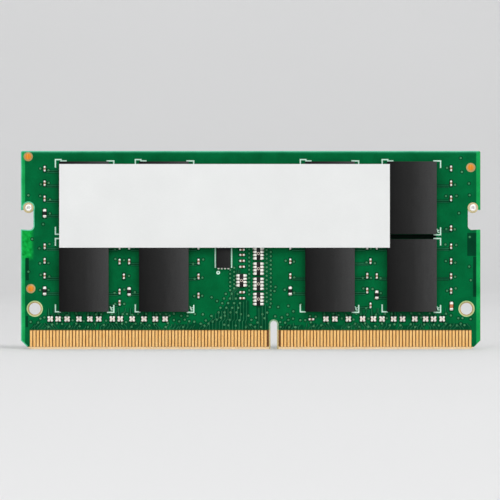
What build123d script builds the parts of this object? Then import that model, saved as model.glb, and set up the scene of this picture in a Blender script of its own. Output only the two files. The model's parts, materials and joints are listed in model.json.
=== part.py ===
"""A 260-contact laptop memory module: a small plug-in circuit board with eight memory chips on its front.

Frame: +X along the module, +Z up from the contact edge, front (chip side) facing -Y.
The origin is on the contact edge, half way along the board and half way through it.
All sizes are in millimetres.
"""

from build123d import *

import os

os.makedirs("parts", exist_ok=True)

# ---------------------------------------------------------------- driving dimensions

BOARD_WIDTH = 69.6
BOARD_HEIGHT = 30.0
LAMINATE = 1.14  # glass-epoxy core
FILM = 0.03  # solder mask, contact pads and fiducial dots lying on each side of the core
INK = 0.02  # printed legend
CORNER_CUT = 1.3
CORNER_ROUND = 1.2
TOP_ROUND = 0.25
BEVEL_HEIGHT = 0.34  # lead-in along the contact edge
BEVEL_DEPTH = 0.2

CONTACT_PITCH = 0.5
CONTACT_WIDTH = 0.35
CONTACT_LOW = 0.36
CONTACT_HIGH = 2.82
LEFT_CONTACTS = 72
RIGHT_CONTACTS = 58
END_MARGIN = 1.55  # board end to the centre line of the nearest contact
BARE_STRIP = 2.9  # the mask stops this far above the contact edge
BARE_END = 0.2  # and this far past the outermost contacts' centre lines
KEY_WIDTH = 1.0
KEY_HEIGHT = 4.25
KEY_MARGIN = 0.24  # bare rim round the top of the key slot

NOTCH_DEPTH = 1.9
NOTCH_LOW = 18.05
NOTCH_HIGH = 21.1
NOTCH_CORNER = 0.6
EYELET_INSET = 1.14  # eyelet centre from the board end
EYELET_HEIGHT = 21.4
LUG_RADIUS = 0.8
EYELET_FLANGE = 0.52
EYELET_BARREL = 0.34
EYELET_BORE = 0.16
EYELET_RISE = 0.06

HOLE_RADIUS = 0.9
HOLE_CLEAR_RADIUS = 1.22
HOLE_INSET = 2.1
HOLE_HEIGHT = 6.1

FIDUCIAL_RADIUS = 0.46
FIDUCIAL_CLEAR_RADIUS = 0.7
FIDUCIAL_PLACES = ((-33.7, 29.15), (-33.3, 9.15), (33.35, 27.5))

CHIP_WIDTH = 7.5
CHIP_HEIGHT = 11.0
CHIP_COLUMNS = (-25.25, -13.15, 12.0, 24.4)
UPPER_ROW = 22.9
LOWER_ROW = 11.15
BALL_STAND = 0.3
BALL_RADIUS = 0.22
BALL_PITCH = 0.8
BALL_ROWS = 13
BALL_COLUMNS = (-3.2, -2.4, -1.6, 1.6, 2.4, 3.2)
SUBSTRATE = 0.2
MOULD = 0.62
DIE_SIZE = (5.6, 9.2, 0.2)

LABEL_SIZE = (50.0, 12.65, 0.1)
LABEL_CENTRE = (-3.95, 21.68)

SPD_CENTRE = (-4.12, 13.8)
SPD_SIZE = (2.1, 3.0, 0.5)
SPD_PAD = 0.06

half_width = BOARD_WIDTH / 2
first_left = -half_width + END_MARGIN
last_left = first_left + (LEFT_CONTACTS - 1) * CONTACT_PITCH
last_right = half_width - END_MARGIN
first_right = last_right - (RIGHT_CONTACTS - 1) * CONTACT_PITCH
key_x = (last_left + first_right) / 2
left_contact_xs = [first_left + i * CONTACT_PITCH for i in range(LEFT_CONTACTS)]
right_contact_xs = [first_right + i * CONTACT_PITCH for i in range(RIGHT_CONTACTS)]
hole_places = [(side * (half_width - HOLE_INSET), HOLE_HEIGHT) for side in (-1, 1)]
eyelet_places = [(side * (half_width - EYELET_INSET), EYELET_HEIGHT) for side in (-1, 1)]
chip_places = [(x, z) for z in (UPPER_ROW, LOWER_ROW) for x in CHIP_COLUMNS]

# Planes to build on: local x and y run along and up the board, local z points away from it.
FRONT_CORE = Plane(origin=(0, -LAMINATE / 2, 0), x_dir=(1, 0, 0), z_dir=(0, -1, 0))
BACK_CORE = Plane(origin=(0, LAMINATE / 2, 0), x_dir=(-1, 0, 0), z_dir=(0, 1, 0))
FRONT = FRONT_CORE.offset(FILM)
CHIP_TOP = FRONT.offset(BALL_STAND + SUBSTRATE + MOULD)


def save(part, name):
    """Label a finished piece and write it under its own name."""
    part.label = name
    export_step(part, f"parts/{name}.step")


def mirrored(places, plane):
    """Places on the board as local places on a plane that may face the other way."""
    return [(plane.x_dir.X * x, z) for x, z in places]


def outline_on(plane):
    """The board's outline: cut lower corners, key slot, latch notches and their eyelet lugs."""
    with BuildSketch(plane) as outline:
        with Locations((0, BOARD_HEIGHT / 2)):
            Rectangle(BOARD_WIDTH, BOARD_HEIGHT)
        chamfer(outline.vertices().group_by(Axis.Y)[0], CORNER_CUT)
        fillet(outline.vertices().filter_by_position(Axis.Y, 0, CORNER_CUT), CORNER_ROUND)
        fillet(outline.vertices().group_by(Axis.Y)[-1], TOP_ROUND)
        with Locations(*mirrored([(key_x, 0)], plane)):
            SlotOverall(2 * KEY_HEIGHT, KEY_WIDTH, rotation=90, mode=Mode.SUBTRACT)
        with Locations((-half_width, 0), (half_width, 0)):
            with Locations((0, (NOTCH_LOW + NOTCH_HIGH) / 2)):
                Rectangle(2 * (NOTCH_DEPTH - NOTCH_CORNER), NOTCH_HIGH - NOTCH_LOW, mode=Mode.SUBTRACT)
            with Locations((0, (NOTCH_LOW + NOTCH_HIGH + NOTCH_CORNER) / 2)):
                Rectangle(2 * NOTCH_DEPTH, NOTCH_HIGH - NOTCH_LOW - NOTCH_CORNER, mode=Mode.SUBTRACT)
            for side in (-1, 1):
                with Locations((side * (NOTCH_DEPTH - NOTCH_CORNER), NOTCH_LOW + NOTCH_CORNER)):
                    Circle(NOTCH_CORNER, mode=Mode.SUBTRACT)
        with Locations(*eyelet_places):
            Circle(LUG_RADIUS)
    return outline.sketch


def placed(unit, places, plane=FRONT):
    """Copies of a small unit stood on a face of the board, each at (x, z, turn in degrees)."""
    with BuildPart(plane) as group:
        with Locations(*[Location((x, z, 0), (0, 0, turn)) for x, z, turn in places]):
            add(unit)
    return group.part


# ---------------------------------------------------------------- circuit board

with BuildPart() as circuit_board:
    extrude(outline_on(FRONT_CORE), amount=-LAMINATE)
    with BuildSketch(FRONT_CORE):
        with Locations(*hole_places):
            Circle(HOLE_RADIUS)
        with Locations(*eyelet_places):
            Circle(EYELET_BARREL)
    extrude(amount=-LAMINATE, mode=Mode.SUBTRACT)
    for side in (-1, 1):
        with BuildSketch(Plane.YZ.offset(-half_width)):
            with BuildLine():
                Polyline(
                    (side * LAMINATE / 2, BEVEL_HEIGHT),
                    (side * (LAMINATE / 2 - BEVEL_DEPTH), 0),
                    (side * LAMINATE, 0),
                    (side * LAMINATE, BEVEL_HEIGHT),
                    close=True,
                )
            make_face()
        extrude(amount=BOARD_WIDTH, mode=Mode.SUBTRACT)
save(circuit_board.part, "circuit_board")

# ---------------------------------------------------------------- solder mask and copper on the two faces


def solder_mask(plane, dots):
    """Lacquer film over one face, open at the contacts, key rim, holes, eyelets and dots."""
    with BuildPart() as mask:
        extrude(outline_on(plane), amount=FILM)
        with BuildSketch(plane):
            with Locations((0, BARE_STRIP / 2)):
                Rectangle(2 * (last_right + BARE_END), BARE_STRIP)
            with Locations((0, BEVEL_HEIGHT / 2)):
                Rectangle(BOARD_WIDTH, BEVEL_HEIGHT)
            with Locations(*mirrored([(key_x, 0)], plane)):
                SlotOverall(2 * (KEY_HEIGHT + KEY_MARGIN), KEY_WIDTH + 2 * KEY_MARGIN, rotation=90)
            with Locations(*mirrored(hole_places, plane)):
                Circle(HOLE_CLEAR_RADIUS)
            with Locations(*mirrored(eyelet_places, plane)):
                Circle(LUG_RADIUS)
            if dots:
                with Locations(*mirrored(dots, plane)):
                    Circle(FIDUCIAL_CLEAR_RADIUS)
        extrude(amount=FILM, mode=Mode.SUBTRACT)
    return mask.part


def contact_row(plane):
    """The gold contact pads along the lower edge of one face."""
    with BuildPart() as row:
        with BuildSketch(plane):
            middle = (CONTACT_LOW + CONTACT_HIGH) / 2
            with Locations(*mirrored([(x, middle) for x in left_contact_xs + right_contact_xs], plane)):
                Rectangle(CONTACT_WIDTH, CONTACT_HIGH - CONTACT_LOW)
        extrude(amount=FILM)
    return row.part


save(solder_mask(FRONT_CORE, FIDUCIAL_PLACES), "solder_mask_front")
save(solder_mask(BACK_CORE, ()), "solder_mask_back")
save(contact_row(FRONT_CORE), "contacts_front")
save(contact_row(BACK_CORE), "contacts_back")

with BuildPart() as fiducial_dots:
    with BuildSketch(FRONT_CORE):
        with Locations(*FIDUCIAL_PLACES):
            Circle(FIDUCIAL_RADIUS)
    extrude(amount=FILM)
save(fiducial_dots.part, "fiducial_dots")

# ---------------------------------------------------------------- plated eyelets above the latch notches

with BuildPart() as eyelet:
    with BuildSketch(Plane.XZ):
        with BuildLine():
            Polyline(
                (EYELET_BORE, -LAMINATE - EYELET_RISE),
                (EYELET_FLANGE, -LAMINATE - EYELET_RISE),
                (EYELET_FLANGE, -LAMINATE),
                (EYELET_BARREL, -LAMINATE),
                (EYELET_BARREL, 0),
                (EYELET_FLANGE, 0),
                (EYELET_FLANGE, EYELET_RISE),
                (EYELET_BORE, EYELET_RISE),
                close=True,
            )
        make_face()
    revolve(axis=Axis.Z)

for side_name, (x, z) in zip(("left", "right"), eyelet_places):
    save(placed(eyelet.part, [(x, z, 0)], FRONT_CORE), f"latch_eyelet_{side_name}")

# ---------------------------------------------------------------- memory chips

with BuildPart() as ball:
    with BuildSketch(Plane.XZ):
        with BuildLine():
            foot = BALL_RADIUS * 0.78
            Line((0, 0), (foot, 0))
            ThreePointArc((foot, 0), (BALL_RADIUS, BALL_STAND / 2), (foot, BALL_STAND))
            Line((foot, BALL_STAND), (0, BALL_STAND))
            Line((0, BALL_STAND), (0, 0))
        make_face()
    revolve(axis=Axis.Z)

SUBSTRATE_FOOT = FRONT.offset(BALL_STAND)
MOULD_FOOT = SUBSTRATE_FOOT.offset(SUBSTRATE)

for number, (x, z) in enumerate(chip_places, start=1):
    rows = [(i - (BALL_ROWS - 1) / 2) * BALL_PITCH for i in range(BALL_ROWS)]
    ball_places = [(x + column, z + row, 0) for row in rows for column in BALL_COLUMNS]
    save(placed(ball.part, ball_places), f"memory_chip_{number}_solder_balls")

    with BuildPart() as substrate:
        with BuildSketch(SUBSTRATE_FOOT):
            with Locations((x, z)):
                Rectangle(CHIP_WIDTH, CHIP_HEIGHT)
        extrude(amount=SUBSTRATE)
    save(substrate.part, f"memory_chip_{number}_substrate")

    with BuildPart() as die:
        with BuildSketch(MOULD_FOOT):
            with Locations((x, z)):
                Rectangle(DIE_SIZE[0], DIE_SIZE[1])
        extrude(amount=DIE_SIZE[2])
    save(die.part, f"memory_chip_{number}_die")

    with BuildPart() as mould:
        with BuildSketch(MOULD_FOOT):
            with Locations((x, z)):
                Rectangle(CHIP_WIDTH, CHIP_HEIGHT)
        extrude(amount=MOULD)
        chamfer(mould.edges().group_by(Axis.Y)[0], 0.04)
        with BuildSketch(MOULD_FOOT):
            with Locations((x, z)):
                Rectangle(DIE_SIZE[0], DIE_SIZE[1])
        extrude(amount=DIE_SIZE[2], mode=Mode.SUBTRACT)
    save(mould.part, f"memory_chip_{number}_mould")

# ---------------------------------------------------------------- identity (SPD) chip

with BuildPart() as spd_body:
    with BuildSketch(FRONT.offset(SPD_PAD)):
        with Locations(SPD_CENTRE):
            Rectangle(SPD_SIZE[0], SPD_SIZE[1])
    extrude(amount=SPD_SIZE[2])
save(spd_body.part, "spd_chip_body")

with BuildPart() as spd_pads:
    with BuildSketch(FRONT):
        with Locations(SPD_CENTRE):
            Rectangle(1.4, 1.5)
            with GridLocations(0.5, SPD_SIZE[1] - 0.1, 4, 2):
                Rectangle(0.26, 0.5)
    extrude(amount=SPD_PAD)
save(spd_pads.part, "spd_chip_pads")

# ---------------------------------------------------------------- chip resistors and capacitors


def chip_unit(count, length, width, height, cap, terminal_width, solder, pitch=0.5):
    """Body, end terminals and solder fillets of a small surface part lying along local x."""
    with BuildPart() as body:
        Box(length - 2 * cap, width, height, align=(Align.CENTER, Align.CENTER, Align.MIN))
    with BuildPart() as terminals:
        with GridLocations(length - cap, pitch, 2, count):
            Box(cap, terminal_width, height, align=(Align.CENTER, Align.CENTER, Align.MIN))
    with BuildPart() as fillets:
        for side in (-1, 1):
            foot = side * length / 2
            with BuildSketch(Plane.XZ.offset(-terminal_width / 2)):
                with BuildLine():
                    Polyline((foot, 0), (foot + side * solder, 0), (foot, 0.7 * height), close=True)
                make_face()
            extrude(amount=terminal_width)
    with BuildPart() as joints:
        with GridLocations(0, pitch, 1, count):
            add(fillets.part)
    return body.part, terminals.part, joints.part


def every(columns, turn):
    """Places written as {x: (z, z, ...)}, all turned alike."""
    return [(x, z, turn) for x, zs in columns.items() for z in zs]


# Decoupling capacitors, 0.6 x 0.3, standing upright beside the memory chips.
small_capacitors = every(
    {
        -31.2: (27.3, 25.1, 22.8, 15.55, 13.35, 11.1),
        -19.85: (15.5, 13.25, 8.7, 7.0),
        -19.2: (11.0,),
        -18.4: (15.5, 13.25),
        -7.9: (15.5, 13.25, 11.0, 8.1),
        6.0: (15.5, 13.3, 11.05),
        17.65: (15.5, 11.1, 8.85),
        18.15: (13.3, 6.6),
        19.1: (15.5, 11.05),
        30.35: (27.35, 25.1, 22.8, 18.3, 15.55, 13.3, 11.05, 8.8),
    },
    90,
)

# Single resistors, 0.6 x 0.3, lying flat between the identity chip and the arrays.
small_resistors = every({-1.3: (15.05, 14.25, 13.35, 12.45, 8.6, 7.7), 9.2: (4.5,)}, 0)

# Larger parts, 1.0 x 0.5: resistors at the foot of each column and one brown capacitor.
large_resistors = every({-31.2: (20.55, 8.8), -18.4: (8.7,), 6.0: (8.8,), 19.1: (8.2,)}, 90)
bulk_capacitor = [(30.4, 6.5, 90)]

# Four-element resistor arrays for the address lines, in one column with one set apart.
address_arrays = every({1.18: [7.57 + 2.3 * i for i in range(4)], -1.39: (10.38,)}, 0)

# Two-element resistors for the data lines, in one row above the contacts.
data_xs = (-30.35, -29.15, -27.8, -26.0, -24.35, -23.0, -20.95, -19.75, -17.95, -16.15, -14.45, -12.95)
data_xs += (11.4, 12.75, 14.8, 16.95, 18.6, 19.9, 21.65, 23.0, 24.85, 26.5, 27.7, 29.0)
data_pairs = [(x, 4.56, 90) for x in data_xs]

families = (
    ("capacitor", small_capacitors, chip_unit(1, 0.6, 0.3, 0.3, 0.15, 0.3, 0.16)),
    ("resistor", small_resistors, chip_unit(1, 0.6, 0.3, 0.23, 0.15, 0.3, 0.16)),
    ("large_resistor", large_resistors, chip_unit(1, 1.0, 0.5, 0.35, 0.22, 0.5, 0.2)),
    ("bulk_capacitor", bulk_capacitor, chip_unit(1, 1.0, 0.5, 0.5, 0.22, 0.5, 0.2)),
    ("address_array", address_arrays, chip_unit(4, 1.1, 2.0, 0.35, 0.27, 0.38, 0.28)),
    ("data_pair", data_pairs, chip_unit(2, 0.6, 0.7, 0.3, 0.18, 0.36, 0.14, pitch=0.46)),
)
for family, places, (body, terminals, joints) in families:
    save(placed(body, places), f"{family}_bodies")
    save(placed(terminals, places), f"{family}_terminals")

with BuildPart() as solder_joints:
    for family, places, (body, terminals, joints) in families:
        add(placed(joints, places))
save(solder_joints.part, "solder_joints")

# ---------------------------------------------------------------- label and printed legend

with BuildPart() as label:
    with BuildSketch(CHIP_TOP):
        with Locations(LABEL_CENTRE):
            RectangleRounded(LABEL_SIZE[0], LABEL_SIZE[1], 0.08)
    extrude(amount=LABEL_SIZE[2])
save(label.part, "label")

STROKE = 0.18
BRACKET_GAP = 0.67  # from a chip's sides to its corner brackets
BRACKET_RISE = 0.09  # from its ends
BRACKET_TALL = 1.1
BRACKET_WIDE = 1.05
SPD_LINE_X = 1.23  # lines beside the identity chip, from its middle
SPD_DOT_RADIUS = 0.27

with BuildPart() as legend:
    with BuildSketch(FRONT):
        for x, z in chip_places:
            for side_x in (-1, 1):
                for side_z in (-1, 1):
                    corner_x = x + side_x * (CHIP_WIDTH / 2 + BRACKET_GAP)
                    corner_z = z + side_z * (CHIP_HEIGHT / 2 + BRACKET_RISE)
                    with Locations((corner_x, corner_z - side_z * BRACKET_TALL / 2)):
                        Rectangle(STROKE, BRACKET_TALL + STROKE)
                    with Locations((corner_x - side_x * BRACKET_WIDE / 2, corner_z)):
                        Rectangle(BRACKET_WIDE + STROKE, STROKE)
        with Locations(*[(SPD_CENTRE[0] + side * SPD_LINE_X, SPD_CENTRE[1]) for side in (-1, 1)]):
            Rectangle(STROKE, SPD_SIZE[1])
        with Locations((SPD_CENTRE[0] - 0.8, SPD_CENTRE[1] - SPD_SIZE[1] / 2 - 0.73)):
            Circle(SPD_DOT_RADIUS)
    extrude(amount=INK)
save(legend.part, "legend_front")
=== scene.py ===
import json
import random
from math import cos, hypot, pi, radians, sin

import bmesh
import bpy
from mathutils import Matrix, Vector


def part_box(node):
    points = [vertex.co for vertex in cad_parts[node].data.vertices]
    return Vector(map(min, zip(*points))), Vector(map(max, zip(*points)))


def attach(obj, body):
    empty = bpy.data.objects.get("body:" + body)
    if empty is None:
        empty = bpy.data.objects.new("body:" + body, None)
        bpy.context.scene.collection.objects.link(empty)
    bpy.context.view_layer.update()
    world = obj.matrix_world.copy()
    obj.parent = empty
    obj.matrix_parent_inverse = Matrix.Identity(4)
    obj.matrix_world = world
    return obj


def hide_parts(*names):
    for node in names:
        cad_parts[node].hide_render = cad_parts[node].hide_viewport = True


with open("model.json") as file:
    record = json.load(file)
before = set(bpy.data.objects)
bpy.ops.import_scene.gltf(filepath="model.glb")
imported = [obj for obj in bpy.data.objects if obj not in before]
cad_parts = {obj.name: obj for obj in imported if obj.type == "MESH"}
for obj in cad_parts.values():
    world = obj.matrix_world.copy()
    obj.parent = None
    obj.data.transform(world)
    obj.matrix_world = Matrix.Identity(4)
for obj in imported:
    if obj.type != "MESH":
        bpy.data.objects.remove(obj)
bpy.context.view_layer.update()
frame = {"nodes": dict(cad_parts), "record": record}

# ---------------------------------------------------------------- circuit board
# A glass-cloth and epoxy card 1.2 mm thick, pressed from several layers and routed to shape.
# Its contact edge is bevelled, and the bare resin shows between the contacts and round the key slot.
# All lengths below are in millimetres and are scaled to metres as each mesh is made.


def tone(red, green, blue):
    """A colour written as 0-255 screen values, for a shader."""
    shades = [v / 255 for v in (red, green, blue)]
    return [v / 12.92 if v <= 0.04045 else ((v + 0.055) / 1.055) ** 2.4 for v in shades] + [1.0]


def new_finish(name):
    """An empty finish: its material, node tree and main shader."""
    material = bpy.data.materials.new(name)
    material.use_nodes = True
    tree = material.node_tree
    return material, tree, tree.nodes["Principled BSDF"]


def add_node(tree, kind, inputs=None, **settings):
    """One node, with its settings and its inputs set or linked."""
    node = tree.nodes.new(kind)
    for key, value in settings.items():
        setattr(node, key, value)
    for key, value in (inputs or {}).items():
        if isinstance(value, bpy.types.NodeSocket):
            tree.links.new(value, node.inputs[key])
        else:
            node.inputs[key].default_value = value
    return node


def place_on(tree):
    """The position on the module, in metres, in the row frame."""
    return add_node(tree, "ShaderNodeTexCoord").outputs["Object"]


def grain(tree, size, detail=2.0, stretch=(1, 1, 1)):
    """Noise whose lumps are about that many millimetres wide."""
    where = add_node(
        tree, "ShaderNodeVectorMath", {0: place_on(tree), 1: stretch}, operation="MULTIPLY"
    )
    noise = add_node(
        tree,
        "ShaderNodeTexNoise",
        {"Vector": where.outputs[0], "Scale": 1000 / size, "Detail": detail},
    )
    return noise.outputs["Fac"]


def ramp(tree, amount, stops, smooth=False):
    """Colours laid along an amount from 0 to 1."""
    node = add_node(tree, "ShaderNodeValToRGB", {"Fac": amount})
    band = node.color_ramp
    if smooth:
        band.interpolation = "EASE"
    while len(band.elements) < len(stops):
        band.elements.new(0.5)
    for element, (at, colour) in zip(band.elements, stops):
        element.position = at
        element.color = colour
    return node.outputs["Color"]


def blend(tree, amount, below, above, way="MIX"):
    """Two colours mixed by an amount."""
    node = add_node(tree, "ShaderNodeMix", data_type="RGBA", blend_type=way)
    for index, value in ((0, amount), (6, below), (7, above)):
        if isinstance(value, bpy.types.NodeSocket):
            tree.links.new(value, node.inputs[index])
        else:
            node.inputs[index].default_value = value
    return node.outputs[2]


def sums(tree, operation, first, second=0.0, third=0.0):
    """One line of arithmetic on surface positions."""
    node = add_node(tree, "ShaderNodeMath", {0: first, 1: second, 2: third}, operation=operation)
    return node.outputs[0]


def past(tree, value, at, soft):
    """0 before a position given in millimetres and 1 past it, with a soft edge."""
    node = add_node(
        tree,
        "ShaderNodeMapRange",
        {"Value": value, "From Min": (at - soft) / 1000, "From Max": (at + soft) / 1000},
        interpolation_type="SMOOTHSTEP",
    )
    return node.outputs["Result"]


def emboss(tree, shader, height, depth, strength=1.0):
    """Relief that is so many millimetres deep."""
    node = add_node(
        tree, "ShaderNodeBump", {"Height": height, "Distance": depth / 1000, "Strength": strength}
    )
    tree.links.new(node.outputs["Normal"], shader.inputs["Normal"])


def dress(node_name, material):
    """Gives a CAD node its finish."""
    mesh = frame["nodes"][node_name].data
    mesh.materials.clear()
    mesh.materials.append(material)


def box_of(node_name):
    """The box of a whole CAD node, in millimetres: (lowest corner, highest corner)."""
    low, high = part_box(node_name)
    return low * 1000, high * 1000


def mount_at(name):
    """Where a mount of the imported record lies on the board, in millimetres: (along, up)."""
    x, _, z = next(mount["pos_m"] for mount in frame["record"]["mounts"] if mount["name"] == name)
    return x * 1000, z * 1000


HALF_WIDTH = box_of("circuit_board")[1].x
BOARD_TOP = box_of("circuit_board")[1].z
KEY_X, KEY_TOP = mount_at("key_notch")
KEY_RIM = 0.72  # from the key slot's middle to where its pale rim ends
BEVEL_TOP = 0.335
BARE_TOP = 2.95  # above this the mask covers the faces
SIDE_WALL = 0.56  # routed walls are nearer than this to the middle of the card
WEAVE = 13000  # radians per metre
LAYERS = 38000


def make_laminate():
    """Glass cloth in tan resin, paler where it was cut, with green-grey layers on the routed walls."""
    material, tree, shader = new_finish("glass_epoxy")
    axes = add_node(tree, "ShaderNodeSeparateXYZ", {"Vector": place_on(tree)}).outputs
    cloth = sums(
        tree,
        "MULTIPLY",
        sums(tree, "SINE", sums(tree, "MULTIPLY", axes["X"], WEAVE)),
        sums(tree, "SINE", sums(tree, "MULTIPLY", axes["Z"], WEAVE)),
    )
    cloth = sums(tree, "MULTIPLY_ADD", cloth, 0.25, grain(tree, 0.35))
    resin = ramp(tree, cloth, [(0.2, tone(90, 50, 10)), (0.8, tone(124, 76, 24))])
    # the bevel is freshly cut, so its resin is paler
    cut = past(tree, axes["Z"], BEVEL_TOP, 0.035)
    pale = ramp(tree, grain(tree, 0.2), [(0.3, tone(248, 218, 172)), (0.8, tone(255, 236, 196))])
    faces = blend(tree, cut, pale, resin)
    # the router leaves a pale rim round the key slot: tan between the contacts and sage above them
    slot_side = sums(tree, "ABSOLUTE", sums(tree, "SUBTRACT", axes["X"], KEY_X / 1000))
    tan = ramp(tree, cloth, [(0.2, tone(190, 168, 112)), (0.8, tone(214, 194, 146))])
    sage = ramp(tree, cloth, [(0.2, tone(112, 156, 118)), (0.8, tone(150, 184, 148))])
    rim = blend(tree, past(tree, axes["Z"], BARE_TOP, 0.15), tan, sage)
    faces = blend(tree, past(tree, slot_side, KEY_RIM, 0.06), rim, faces)
    # the routed edge shows the pressed layers as thin lines
    layer = sums(tree, "SINE", sums(tree, "MULTIPLY", axes["Y"], LAYERS))
    layer = sums(tree, "MULTIPLY_ADD", layer, 0.3, grain(tree, 0.12, stretch=(1, 4, 1)))
    pressed = [(0.1, tone(86, 128, 84)), (0.55, tone(150, 176, 120)), (0.9, tone(196, 204, 158))]
    wall = ramp(tree, layer, pressed)
    on_face = past(tree, sums(tree, "ABSOLUTE", axes["Y"]), SIDE_WALL, 0.005)
    above_bevel = past(tree, axes["Z"], BEVEL_TOP + 0.09, 0.025)
    on_wall = sums(tree, "MULTIPLY", sums(tree, "SUBTRACT", 1.0, on_face), above_bevel)
    tree.links.new(blend(tree, on_wall, faces, wall), shader.inputs["Base Color"])
    shader.inputs["Roughness"].default_value = 0.55
    shader.inputs["Specular IOR Level"].default_value = 0.3
    emboss(tree, shader, cloth, 0.012)
    return material


laminate = make_laminate()
dress("circuit_board", laminate)

# ---------------------------------------------------------------- solder mask
# A green lacquer printed over each face, thin enough for copper lines and vias to show as low relief.
# It is dark over the copper planes and bright along the margins, where the etched board has no copper.

MARGIN_SIDE = 0.62
MARGIN_TOP = 0.36
BEYOND = 40  # past every edge of the board
PATCH_WIDTH = 1.7  # the patch of clear card beside the left latch notch
PATCH_LOW = 13.7
PATCH_HIGH = 18.3
FACE_AT = 0.6  # the mask's outer face, from the middle of the board
NEAR = 0.004  # a point this near to a face lies on it
SUNK = -NEAR  # raised drawing starts this far inside the mask
FILM_RISE = 0.003  # how far the flattest drawing stands off the mask
RIM_INSET = 0.09
RIM_WIDTH = 0.15


def window(tree, value, low, high, soft):
    """1 between two positions given in millimetres and 0 outside them, with soft edges."""
    return sums(tree, "SUBTRACT", past(tree, value, low, soft), past(tree, value, high, soft))


def make_mask(name, dark, light, bare_card=False, gloss=0.34):
    """Lacquer with its faint clouds and orange peel, and the bare card's brighter green where asked."""
    material, tree, shader = new_finish(name)
    lumps = grain(tree, 2.2, 3.0)
    fine = grain(tree, 0.18, 2.0)
    colour = ramp(tree, lumps, [(0.25, dark), (0.75, light)])
    if bare_card:
        axes = add_node(tree, "ShaderNodeSeparateXYZ", {"Vector": place_on(tree)}).outputs
        bright = ramp(tree, lumps, [(0.2, tone(14, 146, 72)), (0.8, tone(34, 178, 96))])
        teal = ramp(tree, lumps, [(0.2, tone(12, 112, 70)), (0.8, tone(26, 132, 88))])
        off_middle = sums(tree, "ABSOLUTE", axes["X"])
        side = window(tree, off_middle, HALF_WIDTH - MARGIN_SIDE, BEYOND, 0.08)
        top = window(tree, axes["Z"], BOARD_TOP - MARGIN_TOP, BEYOND, 0.06)
        colour = blend(tree, top, colour, teal)
        colour = blend(tree, side, colour, bright)
        # light comes through the card beside the left latch notch, where no layer has copper
        clear = sums(
            tree,
            "MULTIPLY",
            window(tree, axes["X"], -BEYOND, PATCH_WIDTH - HALF_WIDTH, 0.45),
            window(tree, axes["Z"], PATCH_LOW, PATCH_HIGH, 0.45),
        )
        glow = ramp(tree, grain(tree, 0.5, 3.0), [(0.25, tone(0, 132, 44)), (0.75, tone(22, 190, 80))])
        colour = blend(tree, clear, colour, glow)
    speck = ramp(tree, fine, [(0.35, (0.9, 0.9, 0.9, 1)), (0.75, (1.06, 1.06, 1.06, 1))])
    tree.links.new(blend(tree, 1.0, colour, speck, "MULTIPLY"), shader.inputs["Base Color"])
    rough = add_node(
        tree, "ShaderNodeMapRange", {"Value": lumps, "To Min": gloss - 0.05, "To Max": gloss + 0.08}
    )
    tree.links.new(rough.outputs["Result"], shader.inputs["Roughness"])
    shader.inputs["Specular IOR Level"].default_value = 0.025
    emboss(tree, shader, fine, 0.006, 0.5)
    return material


mask_green = make_mask("mask_over_planes", tone(0, 92, 49), tone(0, 110, 60), bare_card=True)
mask_copper = make_mask("mask_over_lines", tone(22, 100, 62), tone(48, 130, 88))
mask_via = make_mask("mask_over_vias", tone(46, 120, 76), tone(84, 150, 106))
mask_gap = make_mask("mask_over_gaps", tone(0, 54, 32), tone(0, 70, 40))
mask_ground = make_mask("mask_over_bare_card", tone(0, 70, 40), tone(0, 84, 49))
# painted highlight: a bright mint line just inside the board's edge stands for the light its rounded edge
# catches
painted_edge_highlight = make_mask("painted_edge_highlight", tone(76, 190, 146), tone(106, 212, 170))
# painted shade: near-black lacquer for the shadow between the two rows of chips
painted_shade_mask = make_mask("painted_shade_between_chips", tone(0, 14, 8), tone(0, 24, 13))
for node_name in ("solder_mask_front", "solder_mask_back"):
    dress(node_name, mask_green)


def boxes_in(node_name):
    """The box of each separate solid of a CAD node, in millimetres: (centre, size)."""
    bm = bmesh.new()
    bm.from_mesh(frame["nodes"][node_name].data)
    bmesh.ops.remove_doubles(bm, verts=bm.verts, dist=1e-6)
    seen = set()
    found = []
    for start in bm.verts:
        if start in seen:
            continue
        seen.add(start)
        queue = [start]
        low = Vector(start.co)
        high = Vector(start.co)
        while queue:
            vert = queue.pop()
            for axis in range(3):
                low[axis] = min(low[axis], vert.co[axis])
                high[axis] = max(high[axis], vert.co[axis])
            for edge in vert.link_edges:
                other = edge.other_vert(vert)
                if other not in seen:
                    seen.add(other)
                    queue.append(other)
        found.append(((low + high) * 500, (high - low) * 1000))
    bm.free()
    return sorted(found, key=lambda item: (round(item[0].x, 3), round(item[0].z, 3)))


def add_piece(name, bm, material, slot, *stands_for, smooth=None):
    """Scales a millimetre mesh to metres and puts it on the module as one piece."""
    bmesh.ops.transform(bm, matrix=Matrix.Scale(0.001, 4), verts=bm.verts)
    bmesh.ops.recalc_face_normals(bm, faces=bm.faces)
    mesh = bpy.data.meshes.new(name)
    bm.to_mesh(mesh)
    bm.free()
    mesh.materials.append(material)
    piece = bpy.data.objects.new(name, mesh)
    bpy.context.scene.collection.objects.link(piece)
    if smooth is not None:
        mesh.shade_smooth()
        mesh.set_sharp_from_angle(angle=radians(smooth))
    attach(piece, "root")
    if stands_for:
        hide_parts(*stands_for)


def face_of(side):
    """Puts a flat drawing on the front (-1) or back (+1): x along, y up, z off the mask, in mm."""
    return Matrix(((1, 0, 0, 0), (0, 0, side, FACE_AT * side), (0, 1, 0, 0), (0, 0, 0, 1)))


def skin(bm, rings, wraps=False):
    """Joins rings of points into one closed surface, capped at both ends unless it wraps round."""
    rings = [[bm.verts.new(at) for at in ring] for ring in rings]
    count = len(rings[0])
    for a, b in zip(rings, rings[1:] + rings[:1] if wraps else rings[1:]):
        for k in range(count):
            bm.faces.new((a[k], a[(k + 1) % count], b[(k + 1) % count], b[k]))
    if not wraps:
        bm.faces.new(rings[0])
        bm.faces.new(rings[-1][::-1])


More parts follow.
